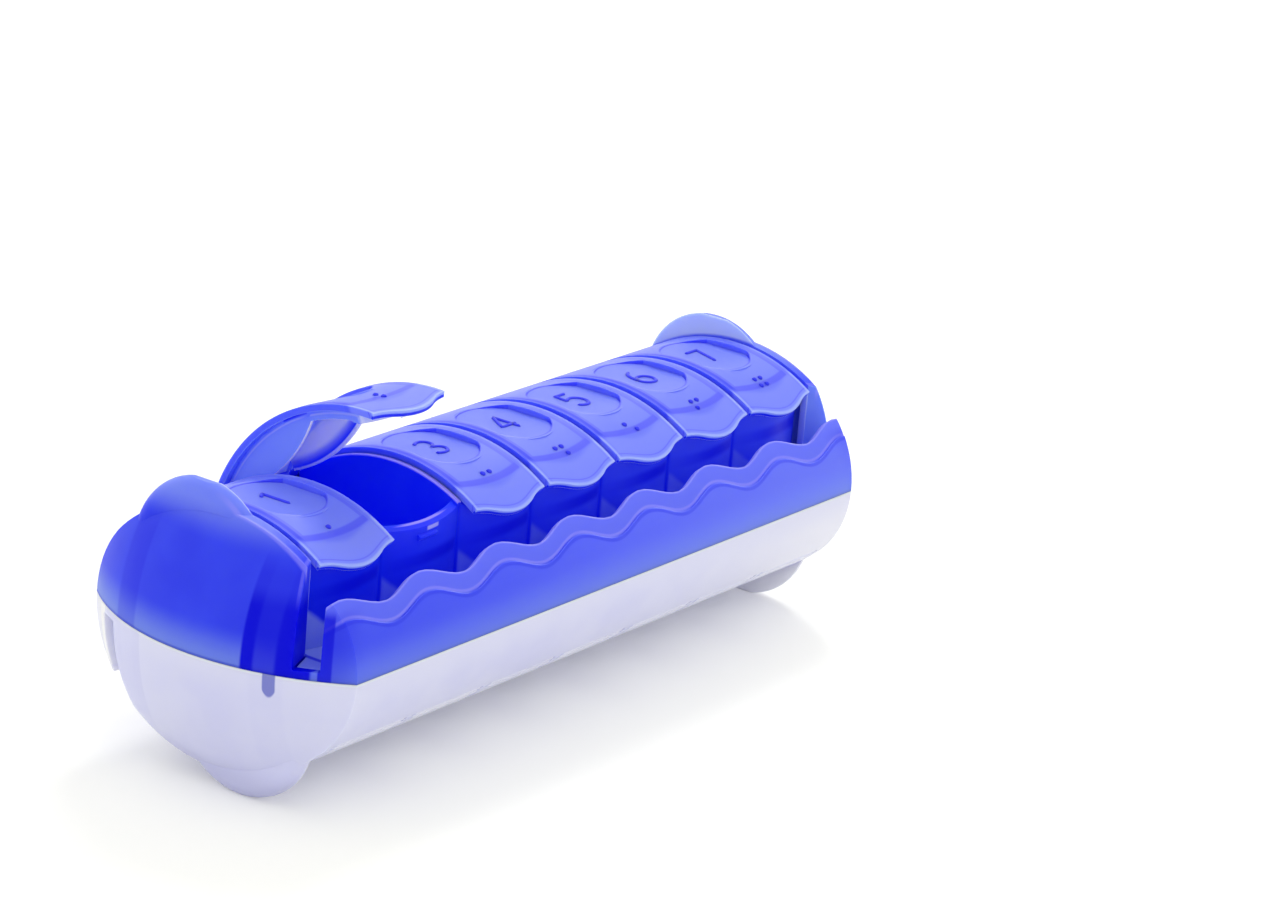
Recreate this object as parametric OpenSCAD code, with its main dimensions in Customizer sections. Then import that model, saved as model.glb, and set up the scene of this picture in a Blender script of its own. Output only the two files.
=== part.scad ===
// Two-sided travel pill organizer, millimetres, +Z up, row of pockets along X.
// Two equal oval halves stand back to back; each half holds a tray of pockets under hinged lids.

/* [Body] */
// Number of pockets in each half
pocket_count = 7; // [5:1:9]
// Distance between pocket centres
pitch = 21.4; // [21:0.1:23]
// Half width of the oval body
half_width = 29.6; // [29.2:0.1:30.4]
// Height of the lid crown above the parting plane
crown_height = 23.6; // [23.4:0.1:23.8]
// Radius of the side arcs of the oval
side_radius = 19.5; // [19.3:0.1:19.8]
// Wall thickness of the shells
shell_wall = 1.6; // [1.4:0.1:1.8]

/* [End caps] */
// Length of each cap beyond the row of pockets
cap_length = 11.3; // [11:0.1:12]
// Plan radius of the rounded ends
end_radius = 47; // [46:0.5:48]
// Radius of the dome profile of the ends
dome_radius = 36; // [35.5:0.5:37]
// Distance of the cap front wall from the middle
cap_front = 17.6; // [17.4:0.1:18]
// Outward lean of the cap front wall in plan, per millimetre of length
cap_flare = 0.4; // [0.3:0.05:0.45]
// Thickness of the cap front wall
cap_wall = 1.4; // [1.2:0.1:1.6]

/* [Feet] */
// Height of the foot pads above the parting plane
foot_height = 27; // [26.8:0.1:27.4]
// Radius of the rounded foot hump
foot_radius = 15; // [14.6:0.1:15.4]
// Distance of the foot from the middle, towards the hinge
foot_offset = 6; // [5.6:0.1:6.4]
// Half width of the flat foot pad
pad_half = 3; // [2.6:0.1:3.4]
// Length of the foot beyond the row of pockets
foot_length = 3.3; // [3.2:0.1:3.4]
// Radius of the rounded outer edge of the foot
foot_round = 2.9; // [2.8:0.1:3]

/* [Rail] */
// Distance of the rail edge below the hinge level, round the side arc
rail_drop = 1.9; // [1.9:0.1:2.4]
// Half height of the wave in the rail edge
rail_wave = 1.4; // [1:0.1:1.4]
// Plan angle of the rail ends about the end centre
rail_end_angle = 31.3; // [30.5:0.1:32]
// Height of the low rim beyond the rail ends
rim_height = 1.5; // [1.4:0.1:2]
// Depth of the thinner band along the rail edge
step_depth = 0.35; // [0.2:0.05:0.5]
// Width of the thinner band
step_drop = 3.9; // [3.5:0.1:4.2]

/* [Lids] */
// Width of one lid
lid_width = 19.7; // [19.4:0.1:19.8]
// Wall thickness of a lid
lid_wall = 1.2; // [1.1:0.05:1.3]
// Angle of the finger tab edge from the crown
tab_angle = 35.7; // [35.2:0.1:36.2]
// Half height of the wave in the tab edge
tab_wave = 1.3; // [1:0.1:1.4]
// Radius of the sunk round window
window_radius = 8.9; // [8.5:0.1:9.2]
// Half width of the window, cut by the cheeks
window_half = 7.55; // [7.4:0.05:7.7]
// Depth of the window floor below the crown
window_depth = 1.15; // [1.05:0.05:1.25]
// Thickness of the cheeks under a lid
cheek_wall = 0.9; // [0.8:0.1:1.1]
// Opening angle of the second upper lid as drawn
rest_open = 30; // [20:1:40]

/* [Hinge] */
// Depth of the hinge axis below the surface
hinge_depth = 0.55; // [0.5:0.05:0.6]
// Radius of the hinge bead
bead_radius = 0.5; // [0.45:0.05:0.5]
// Play between the bead and its groove
hinge_clearance = 0.05; // [0.03:0.01:0.08]
// Radius of the hinge seat on the shell
seat_radius = 1.35; // [1.3:0.05:1.4]
// Width of the teeth between the hinge notches
tooth_width = 1.1; // [0.9:0.1:1.1]

/* [Trays] */
// Thickness of the tray walls
tray_wall = 1.3; // [1.2:0.1:1.4]
// Thickness of the partitions between pockets
partition = 1; // [0.9:0.1:1.1]
// Thickness of the pocket floors
tray_floor = 1.5; // [1.4:0.1:1.8]
// Radius of the curved pocket floor
pocket_curve = 13; // [12.5:0.5:13]
// Distance of the pocket fronts from the middle
front_reach = 16.8; // [16.6:0.1:16.9]
// Bulge of each pocket front in plan
front_bulge = 1.6; // [1.3:0.1:1.8]
// Inner face of the rear wall, from the middle
rear_face = 19.5; // [19:0.1:19.6]

/* [Posts] */
// Distance of the posts beyond the row of pockets
post_reach = 4.1; // [3.9:0.1:4.4]
// Distance of the posts from the middle
post_offset = 12.5; // [12:0.1:12.8]
// Radius of the posts
post_radius = 2.6; // [2.4:0.1:2.8]
// Radius of the alignment pins
pin_radius = 1.1; // [1:0.1:1.2]
// Length of the pins beyond the parting plane
pin_length = 6; // [5:0.5:6.5]

/* [Hidden] */
$fn = 96;
far = 200;
row_half = pocket_count * pitch / 2;
half_length = row_half + cap_length;
end_centre = half_length - end_radius;
cap_face = row_half + 0.3;
side_centre = half_width - side_radius;
crown_rise = crown_height - side_radius;
crown_drop = (side_centre * side_centre - crown_rise * crown_rise) / (2 * crown_rise);
crown_radius = crown_drop + crown_height;
hinge_angle = atan2(side_centre, crown_drop);
rail_angle = 90 - hinge_angle - rail_drop / side_radius * 180 / PI;
hinge_radius = crown_radius - hinge_depth;
hinge = [hinge_radius * sin(hinge_angle), hinge_radius * cos(hinge_angle) - crown_drop];
lid_inner = crown_radius - lid_wall;
web_half = 0.25;
rim_top = crown_radius - 1.05;
front_top = lid_inner - 0.45;
rear_top = hinge.y - 0.1;
front_radius = (pitch * pitch / 4 + front_bulge * front_bulge) / (2 * front_bulge);
front_centre = front_radius - front_reach;
pocket_half = (pitch - partition) / 2;
curve_height = tray_floor + pocket_curve;
front_curve = -front_reach + tray_wall + pocket_curve;
rear_curve = rear_face - pocket_curve;
floor_skin = 1;
foot_sag = foot_radius - sqrt(foot_radius * foot_radius - pad_half * pad_half);
foot_centre = foot_height + foot_sag - foot_radius;
post_x = row_half + post_reach;
leaf_centre = [15.2, 40.65];
leaf_radius = 27.2;

// Centre of pocket number i along X
function pocket_x(i) = (i - (pocket_count + 1) / 2) * pitch;

// Carries a section drawn in Y and Z along X
module along_x(length) {
    translate([-length / 2, 0, 0])
        rotate([90, 0, 90])
            linear_extrude(length)
                children();
}

// Upper half of the four-arc oval, drawn in Y and Z
module half_oval(inset = 0) {
    join = [side_centre + far * sin(hinge_angle), far * cos(hinge_angle)];
    intersection() {
        translate([0, -crown_drop])
            circle(crown_radius - inset);
        polygon([[-side_centre, 0], [side_centre, 0], join, [-join.x, join.y]]);
    }
    for (side = [-1, 1])
        intersection() {
            translate([side * side_centre, 0])
                circle(side_radius - inset);
            polygon([[side * side_centre, 0], [side * 1.5 * far, 0], [side * join.x, join.y]]);
        }
}

// Rounded end, revolved about its upright axis
module dome(inset) {
    rotate_extrude()
        intersection() {
            translate([end_radius - dome_radius, 0])
                circle(dome_radius - inset);
            square([end_radius, dome_radius]);
        }
}

// Solid form of one half
module half_form(inset = 0) {
    intersection() {
        along_x(4 * half_length)
            half_oval(inset);
        union() {
            translate([-end_centre, -far / 2, 0])
                cube([2 * end_centre, far, dome_radius]);
            for (end = [-1, 1])
                translate([end * end_centre, 0, 0])
                    dome(inset);
        }
    }
}

// Everything below the wavy rail edge, with crests at the partitions
module below_wave() {
    steps = 12 * (pocket_count + 2);
    start = pocket_x(0);
    edge = [
        for (k = [0 : steps])
            let (x = start + k * pitch / 12)
            [x, -rail_wave * cos(360 * (x - start) / pitch)]
    ];
    polygon(concat([[start, -2 * half_width]], edge, [[-start, -2 * half_width]]));
}

// Everything beyond the scalloped tab edge of a lid, with its tip at the middle
module beyond_tab() {
    radius = (pitch * pitch / 16 + tab_wave * tab_wave) / (2 * tab_wave);
    difference() {
        translate([-pitch, -20])
            square([2 * pitch, 20]);
        translate([0, radius - tab_wave])
            circle(radius);
    }
    intersection() {
        for (side = [-1, 1])
            translate([side * pitch / 2, tab_wave - radius])
                circle(radius);
        translate([-pitch, -0.2])
            square([2 * pitch, 2 * tab_wave]);
    }
}

// Places a drawing on the slope of the rail, Y up the slope
module on_rail(drop = 0) {
    translate([0, -side_centre - side_radius * cos(rail_angle), side_radius * sin(rail_angle)])
        rotate([90 - rail_angle, 0, 0])
            translate([0, -drop, 0])
                children();
}

// Plan of everything in front of the cap front walls
module groove_plan(clear = 0) {
    inner = -cap_front - clear;
    outer = inner - cap_flare * 20;
    polygon([
        [-cap_face - 20, -far],
        [-cap_face - 20, outer],
        [-cap_face, inner],
        [cap_face, inner],
        [cap_face + 20, outer],
        [cap_face + 20, -far]
    ]);
}

// Space that the front rail fills
module rail_zone() {
    reach = 70;
    end = [reach * cos(rail_end_angle), -reach * sin(rail_end_angle)];
    intersection() {
        on_rail()
            linear_extrude(40, center = true)
                below_wave();
        translate([0, 0, -1])
            linear_extrude(far)
                polygon([[-end_centre, 0], [-end_centre - end.x, end.y], [end_centre + end.x, end.y], [end_centre, 0]]);
    }
}

// Finger groove in front of the pockets
module groove_cut() {
    difference() {
        translate([0, 0, rim_height])
            linear_extrude(far)
                groove_plan();
        rail_zone();
    }
}

// Thinner band along the wavy rail edge
module rail_step() {
    difference() {
        intersection() {
            along_x(2 * half_length)
                difference() {
                    half_oval(-1);
                    half_oval(step_depth);
                }
            translate([0, 0, rim_height])
                linear_extrude(far)
                    groove_plan();
        }
        on_rail(step_drop)
            linear_extrude(40, center = true)
                below_wave();
    }
}

// Opening over the pockets, with a notch in the rear wall for the hinge of each lid
module lid_opening() {
    for (i = [1 : pocket_count])
        translate([pocket_x(i), 0, 0])
            along_x(pitch - tooth_width)
                translate(hinge) {
                    rotate(-10)
                        translate([-3, -0.2])
                            square(far);
                    circle(bead_radius + hinge_clearance);
                }
    along_x(2 * cap_face)
        translate([-front_reach - 2, rim_height + 4])
            square([front_reach + hinge.x, far]);
}

// Rounded foot at the +X end, turned about its own lengthwise axis
module foot() {
    difference() {
        intersection() {
            translate([row_half, foot_offset, foot_centre])
                rotate([0, 90, 0])
                    rotate_extrude() {
                        square([foot_radius, foot_length - foot_round]);
                        square([foot_radius - foot_round, foot_length]);
                        translate([foot_radius - foot_round, foot_length - foot_round])
                            intersection() {
                                circle(foot_round);
                                square(foot_round);
                            }
                    }
            translate([cap_face, -half_width, 0])
                cube([cap_length, 2 * half_width, foot_height]);
        }
        half_form(shell_wall / 2);
    }
}

// Front walls of the two caps
module cap_fronts() {
    for (end = [-1, 1])
        intersection() {
            translate([0, 0, rim_height])
                linear_extrude(far)
                    difference() {
                        translate([end * (cap_face + 10) - 10, -half_width])
                            square([20, half_width]);
                        groove_plan();
                        translate([0, cap_wall])
                            difference() {
                                translate([-far, -far])
                                    square(2 * far);
                                groove_plan();
                            }
                    }
            half_form(shell_wall / 2);
        }
}

// Posts that meet at the parting plane, a pin against a socket at each end
module posts() {
    for (end = [-1, 1])
        for (side = [-1, 1])
            intersection() {
                translate([end * post_x, side * post_offset, tray_floor])
                    cylinder(h = far, r = post_radius);
                half_form(shell_wall / 2);
            }
}

// Alignment pins on one post of each end
module pins() {
    for (end = [-1, 1])
        translate([end * post_x, end * post_offset, -pin_length])
            cylinder(h = pin_length + tray_floor + 3, r = pin_radius);
}

// Socket bores in the other posts
module sockets() {
    for (end = [-1, 1])
        translate([end * post_x, -end * post_offset, -1])
            cylinder(h = pin_length + 2, r = pin_radius + 0.1);
}

// Half shell with caps, feet, rail and hinge seat
module shell() {
    difference() {
        union() {
            difference() {
                half_form();
                translate([0, 0, -0.01])
                    half_form(shell_wall);
            }
            cap_fronts();
            posts();
            foot();
            mirror([1, 0, 0])
                foot();
            along_x(2 * cap_face)
                intersection() {
                    translate(hinge)
                        circle(seat_radius);
                    half_oval(0.1);
                }
        }
        lid_opening();
        groove_cut();
        rail_step();
        sockets();
    }
    pins();
}

// Sector of a ring about the crown axis, angles from the crown towards the hinge
module crown_sector(inner, outer, from, to) {
    translate([0, -crown_drop])
        intersection() {
            difference() {
                circle(outer);
                circle(inner);
            }
            polygon([[0, 0], far * [sin(from), cos(from)], far * [sin(to), cos(to)]]);
        }
}

// Section of a lid: arch, hinge web and bead
module lid_section() {
    degree = 180 / (PI * crown_radius);
    difference() {
        crown_sector(lid_inner, crown_radius, -50, hinge_angle - 0.7 * degree);
        crown_sector(lid_inner - 1, hinge_radius - web_half, hinge_angle - 1.6 * degree, hinge_angle + 1);
        crown_sector(hinge_radius + web_half, crown_radius + 1, hinge_angle - 0.7 * degree, hinge_angle + 1);
    }
    crown_sector(hinge_radius - web_half, hinge_radius + web_half, hinge_angle - 2 * degree, hinge_angle);
    translate(hinge)
        circle(bead_radius);
}

// Leaf-shaped cheek with a shallow rib that runs on to the front
module cheek() {
    rotate([90, 0, 90])
        linear_extrude(cheek_wall) {
            intersection() {
                translate([0, -crown_drop])
                    circle(lid_inner + 0.05);
                translate(leaf_centre)
                    circle(leaf_radius);
                translate([-half_width, 0])
                    square([half_width + rear_face - 0.3, 2 * crown_height]);
            }
            crown_sector(lid_inner - 1.7, lid_inner + 0.05, -24, 33);
        }
}

// Rib under the lid just inside the pocket front
module front_rib() {
    outer = front_radius - tray_wall - 0.5;
    intersection() {
        linear_extrude(2 * crown_height)
            difference() {
                intersection() {
                    translate([0, front_centre])
                        circle(outer);
                    translate([-window_half - cheek_wall, -2 * front_reach])
                        square([2 * (window_half + cheek_wall), 2 * front_reach]);
                }
                translate([0, front_centre])
                    circle(outer - 1.4);
            }
        along_x(pitch)
            crown_sector(lid_inner - 2, lid_inner + 0.05, -40, 0);
    }
}

// Plan of the round window, cut flat by the cheeks
module window_plan(margin = 0) {
    intersection() {
        circle(window_radius + 2 * margin);
        translate([-window_half - margin, -far / 2])
            square([2 * (window_half + margin), far]);
    }
}

// One closed lid, centred on X
module lid() {
    window_floor = crown_height - window_depth;
    difference() {
        union() {
            along_x(lid_width)
                lid_section();
            translate([window_half, 0, 0])
                cheek();
            translate([-window_half - cheek_wall, 0, 0])
                cheek();
            front_rib();
            translate([0, 0, window_floor - 1.05])
                linear_extrude(1.1)
                    window_plan(0.3);
            intersection() {
                translate([-2.6, -front_reach - 2.1, hinge.y + 2.2])
                    cube([5.2, 0.9, 6]);
                along_x(pitch)
                    translate([0, -crown_drop])
                        circle(lid_inner + 0.1);
            }
        }
        translate([0, 0, window_floor])
            linear_extrude(far)
                window_plan();
        translate([0, -crown_radius * sin(tab_angle), crown_radius * cos(tab_angle) - crown_drop])
            rotate([tab_angle, 0, 0])
                linear_extrude(20, center = true)
                    beyond_tab();
    }
}

// Lid number i, opened about its hinge
module placed_lid(i, open = 0) {
    translate([pocket_x(i), hinge.x, hinge.y])
        rotate([-open, 0, 0])
            translate([0, -hinge.x, -hinge.y])
                lid();
}

// Plan of the row of pockets with bulged fronts
module row_plan() {
    for (i = [1 : pocket_count])
        intersection() {
            translate([pocket_x(i), front_centre])
                circle(front_radius);
            translate([pocket_x(i) - pitch / 2, -far])
                square([pitch, far + rear_face + tray_wall]);
        }
}

// Plan of the inside of pocket number i
module pocket_plan(i) {
    intersection() {
        translate([pocket_x(i), front_centre])
            circle(front_radius - tray_wall);
        translate([pocket_x(i) - pocket_half, -far])
            square([2 * pocket_half, far + rear_face]);
    }
}

// Section of a pocket with a curved floor
module pocket_section() {
    translate([front_curve, tray_floor])
        square([rear_curve - front_curve, pocket_curve]);
    intersection() {
        translate([front_curve, curve_height])
            circle(pocket_curve);
        translate([front_curve - pocket_curve, tray_floor])
            square(pocket_curve);
    }
    intersection() {
        translate([rear_curve, curve_height])
            circle(pocket_curve);
        translate([rear_curve, tray_floor])
            square(pocket_curve);
    }
    translate([-half_width, curve_height])
        square([2 * half_width, far]);
}

// Section of the hollows under the curved floor
module hollow_section() {
    difference() {
        translate([front_curve - pocket_curve, -1])
            square([pocket_curve, curve_height]);
        translate([front_curve, curve_height])
            circle(pocket_curve + floor_skin);
    }
    difference() {
        translate([rear_curve, -1])
            square([pocket_curve, curve_height]);
        translate([rear_curve, curve_height])
            circle(pocket_curve + floor_skin);
    }
}

// Plan of the thin plate at the parting plane
module plate_plan() {
    plate_half = half_width - shell_wall - 0.4;
    translate([-row_half, -plate_half])
        square([2 * row_half, 2 * plate_half]);
    for (end = [-1, 1])
        intersection() {
            translate([end * end_centre, 0])
                circle(end_radius - shell_wall - 0.3);
            union() {
                intersection() {
                    groove_plan(0.3);
                    translate([end * (row_half + 9) - 10, -plate_half])
                        square([20, plate_half]);
                }
                for (side = [-1, 1])
                    translate([end * post_x, side * post_offset]) {
                        circle(post_radius + 0.6);
                        translate([-end * post_reach / 2, 0])
                            square([post_reach + 0.8, 2 * post_radius], center = true);
                    }
            }
        }
}

// Tray with a row of pockets
module tray() {
    difference() {
        union() {
            intersection() {
                linear_extrude(far)
                    row_plan();
                along_x(2 * half_length)
                    intersection() {
                        translate([0, -crown_drop])
                            circle(rim_top);
                        translate([-half_width, 0])
                            square([2 * half_width, far]);
                    }
            }
            linear_extrude(tray_floor)
                plate_plan();
            for (i = [1 : pocket_count])
                translate([pocket_x(i) - 2.5, -front_reach, front_top * cos(30) - crown_drop - 2.1])
                    rotate([0, 90, 0])
                        cylinder(h = 5, r = 0.55);
        }
        for (i = [1 : pocket_count]) {
            intersection() {
                linear_extrude(far)
                    pocket_plan(i);
                along_x(2 * half_length)
                    pocket_section();
            }
            intersection() {
                translate([0, 0, -1])
                    linear_extrude(far)
                        pocket_plan(i);
                along_x(2 * half_length)
                    hollow_section();
            }
            translate([pocket_x(i) - pocket_half, 0, 0])
                rotate([90, 0, 90])
                    linear_extrude(2 * pocket_half) {
                        difference() {
                            translate([-half_width, 0])
                                square([half_width, far]);
                            translate([0, -crown_drop])
                                circle(front_top);
                        }
                        translate([0, rear_top])
                            square([half_width, far]);
                    }
        }
        for (end = [-1, 1])
            for (side = [-1, 1])
                translate([end * post_x, side * post_offset, -1])
                    cylinder(h = tray_floor + 2, r = pin_radius + 0.2);
    }
}

// Upper half, lids up
module upper_half() {
    translate([0, 0, foot_height])
        children();
}

// Lower half, the same form turned over about X
module lower_half() {
    translate([0, 0, foot_height])
        rotate([180, 0, 0])
            children();
}

module upper_shell() {
    color("RoyalBlue")
        upper_half()
            shell();
}

module lower_shell() {
    color("Lavender")
        lower_half()
            shell();
}

module upper_tray() {
    color("MediumBlue")
        upper_half()
            tray();
}

module lower_tray() {
    color("MediumBlue")
        lower_half()
            tray();
}

module upper_lid(i) {
    color("CornflowerBlue")
        upper_half()
            placed_lid(i, i == 2 ? rest_open : 0);
}

module lower_lid(i) {
    color("GhostWhite")
        lower_half()
            placed_lid(i);
}

upper_shell();
lower_shell();
upper_tray();
lower_tray();
for (i = [1 : pocket_count]) {
    upper_lid(i);
    lower_lid(i);
}
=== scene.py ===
"""Looks of a two-sided travel pill organizer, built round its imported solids."""

import logging
from dataclasses import dataclass, field
from enum import Enum
from typing import Any

import bpy
import numpy as np
from mathutils import Matrix, Vector


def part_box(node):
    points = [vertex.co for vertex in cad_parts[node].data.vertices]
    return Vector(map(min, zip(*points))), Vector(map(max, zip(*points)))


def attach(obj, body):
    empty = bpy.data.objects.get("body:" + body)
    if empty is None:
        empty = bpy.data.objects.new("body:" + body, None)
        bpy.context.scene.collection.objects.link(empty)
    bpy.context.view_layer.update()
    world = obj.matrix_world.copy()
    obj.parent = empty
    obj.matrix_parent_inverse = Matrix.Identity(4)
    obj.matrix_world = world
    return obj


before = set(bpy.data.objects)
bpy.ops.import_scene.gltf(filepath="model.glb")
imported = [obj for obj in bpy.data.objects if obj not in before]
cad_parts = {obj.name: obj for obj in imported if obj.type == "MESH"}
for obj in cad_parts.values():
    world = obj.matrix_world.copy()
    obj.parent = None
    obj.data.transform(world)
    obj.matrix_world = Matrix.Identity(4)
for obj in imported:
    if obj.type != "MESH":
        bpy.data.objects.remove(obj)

log = logging.getLogger("pill_organizer")
MM = 0.001
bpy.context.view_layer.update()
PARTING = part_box("upper_tray")[0].z / MM
Pair = tuple[float, float]
Triple = tuple[float, float, float]
Color = tuple[float, float, float, float]


class Half(Enum):
    """The two halves of the case."""

    UPPER = "upper"
    LOWER = "lower"


def srgb(red: int, green: int, blue: int) -> Color:
    """Turns a display colour into the linear colour that a shader takes.

    Args:
        red: Red from 0 to 255.
        green: Green from 0 to 255.
        blue: Blue from 0 to 255.

    Returns:
        The linear colour with alpha 1.
    """
    c = np.array([red, green, blue]) / 255.0
    linear = np.where(c <= 0.04045, c / 12.92, ((c + 0.055) / 1.055) ** 2.4)
    return (*(float(v) for v in linear), 1.0)


class Wire:
    """A shader value whose arithmetic adds Math nodes."""

    def __init__(self, graph: "Graph", socket: Any) -> None:
        """Keeps the graph and the socket that the value comes from."""
        self.graph = graph
        self.socket = socket

    def _math(self, operation: str, *values: Any) -> "Wire":
        """Adds one Math node on the given values."""
        return self.graph.node("ShaderNodeMath", {"operation": operation}, dict(enumerate(values)))

    def __add__(self, other: Any) -> "Wire":
        """Sum."""
        return self._math("ADD", self, other)

    def __radd__(self, other: Any) -> "Wire":
        """Sum, reflected."""
        return self._math("ADD", other, self)

    def __sub__(self, other: Any) -> "Wire":
        """Difference."""
        return self._math("SUBTRACT", self, other)

    def __rsub__(self, other: Any) -> "Wire":
        """Difference, reflected."""
        return self._math("SUBTRACT", other, self)

    def __mul__(self, other: Any) -> "Wire":
        """Product."""
        return self._math("MULTIPLY", self, other)

    def __rmul__(self, other: Any) -> "Wire":
        """Product, reflected."""
        return self._math("MULTIPLY", other, self)

    def __pow__(self, other: Any) -> "Wire":
        """Power."""
        return self._math("POWER", self, other)

    def __abs__(self) -> "Wire":
        """Value without its sign."""
        return self._math("ABSOLUTE", self)

    def __neg__(self) -> "Wire":
        """Value with the other sign."""
        return self._math("MULTIPLY", self, -1.0)

    def of(self, operation: str, *values: Any) -> "Wire":
        """Any other Math operation with this value first."""
        return self._math(operation, self, *values)

    def at_least(self, other: Any) -> "Wire":
        """Larger of the two values."""
        return self._math("MAXIMUM", self, other)

    def ramp(self, low: float, high: float) -> "Wire":
        """Smooth step from 0 at low to 1 at high."""
        inputs = {0: self, 1: low, 2: high, 3: 0.0, 4: 1.0}
        return self.graph.node("ShaderNodeMapRange", {"interpolation_type": "SMOOTHSTEP"}, inputs)

    def fall(self, low: float, high: float) -> "Wire":
        """Smooth step from 1 at low to 0 at high."""
        return 1.0 - self.ramp(low, high)

    def within(self, low: float, high: float, soft: float) -> "Wire":
        """1 between low and high, 0 outside, with soft edges."""
        return self.ramp(low - soft, low + soft) * self.fall(high - soft, high + soft)


class Graph:
    """Node tree of one material or of the world."""

    def __init__(self, tree: bpy.types.NodeTree) -> None:
        """Empties the tree."""
        self.tree = tree
        tree.nodes.clear()

    def node(
        self, kind: str, settings: dict[str, Any], inputs: dict[Any, Any], out: Any = 0
    ) -> Wire:
        """Adds a node of any kind.

        Args:
            kind: Blender's node type.
            settings: Properties, set before the sockets.
            inputs: Socket name or index to a value or a Wire.
            out: Name or index of the output that is returned.

        Returns:
            The chosen output.
        """
        made = self.tree.nodes.new(kind)
        for key, value in settings.items():
            setattr(made, key, value)
        for key, value in inputs.items():
            if isinstance(value, Wire):
                self.tree.links.new(value.socket, made.inputs[key])
            else:
                made.inputs[key].default_value = value
        return Wire(self, made.outputs[out] if made.outputs else None)

    def blend(self, factor: Any, first: Any, second: Any) -> Wire:
        """Mixes two colours by a factor."""
        inputs = {0: factor, 6: first, 7: second}
        return self.node("ShaderNodeMix", {"data_type": "RGBA"}, inputs, 2)

    def noise(self, place: Wire, scale: float, detail: float = 2.0) -> Wire:
        """Soft noise from 0 to 1 with the given number of waves per metre."""
        inputs = {"Vector": place, "Scale": scale, "Detail": detail}
        return self.node("ShaderNodeTexNoise", {}, inputs)


def reach(first: Wire, second: Wire) -> Wire:
    """Length of the long side over two sides at a right angle."""
    return (first * first + second * second).of("SQRT")


@dataclass
class Spot:
    """A place in millimetres of a closed half, parting plane at 0, and the colour painted there."""

    graph: Graph
    x: Wire
    y: Wire
    z: Wire
    color: Wire

    def over(self, mask: Wire, color: Any) -> None:
        """Paints a colour on top where the mask is 1."""
        self.color = self.graph.blend(mask, self.color, color)


@dataclass(frozen=True)
class Plastic:
    """Moulded milky plastic.

    In the classes built on this one, a Pair says where a soft change starts and ends, and a Triple
    where a band starts and ends and how soft its edges are, in millimetres. A Pair of shares holds
    the share at the start and how much it changes.
    """

    name: str
    body: Color
    deep: Color
    milk: float = 1.5
    rough: float = 0.38
    grain: float = 0.05
    sheen: float = 0.25
    travel: Triple = (0.7, 0.75, 1.0)
    refraction: float = 1.46
    cloud_waves: float = 70.0
    cloud_levels: Pair = (0.3, 0.7)
    fleck_waves: float = 900.0
    fleck_detail: float = 3.0
    fleck_share: float = 0.08
    grain_waves: float = 4000.0
    grain_height: float = 0.0001

    def paint(self, spot: Spot) -> None:
        """Paints the pattern of the surface; plain plastic has none."""

    def make(self, back: Matrix, suffix: str = "") -> bpy.types.Material:
        """Builds the material.

        Args:
            back: Takes the object's metres to millimetres of the closed half.
            suffix: Ending of the material's name.

        Returns:
            The finished material.
        """
        material = bpy.data.materials.new(self.name + suffix)
        material.use_nodes = True
        graph = Graph(material.node_tree)
        place = graph.node("ShaderNodeTexCoord", {}, {}, "Object")
        shift, turn, scale = back.decompose()
        change = {"Location": shift, "Rotation": turn.to_euler(), "Scale": scale}
        half = graph.node("ShaderNodeMapping", {}, {"Vector": place, **change})
        x, y, z = (graph.node("ShaderNodeSeparateXYZ", {}, {0: half}, axis) for axis in "XYZ")
        cloud = graph.noise(place, self.cloud_waves).ramp(*self.cloud_levels)
        fleck = graph.noise(place, self.fleck_waves, self.fleck_detail)
        fine = graph.noise(place, self.grain_waves)
        relief = {"Strength": self.grain, "Distance": self.grain_height, "Height": fine}
        spot = Spot(graph, x, y, z, graph.blend(cloud, self.body, self.deep))
        self.paint(spot)
        shader = graph.node(
            "ShaderNodeBsdfPrincipled",
            {},
            {
                "Base Color": spot.color,
                "Roughness": self.rough + self.fleck_share * (fleck - 0.5),
                "Normal": graph.node("ShaderNodeBump", {}, relief),
                "IOR": self.refraction,
                "Specular IOR Level": self.sheen,
                "Subsurface Weight": 1.0,
                "Subsurface Radius": self.travel,
                "Subsurface Scale": self.milk * MM,
            },
        )
        graph.node("ShaderNodeOutputMaterial", {}, {"Surface": shader})
        return material


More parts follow.
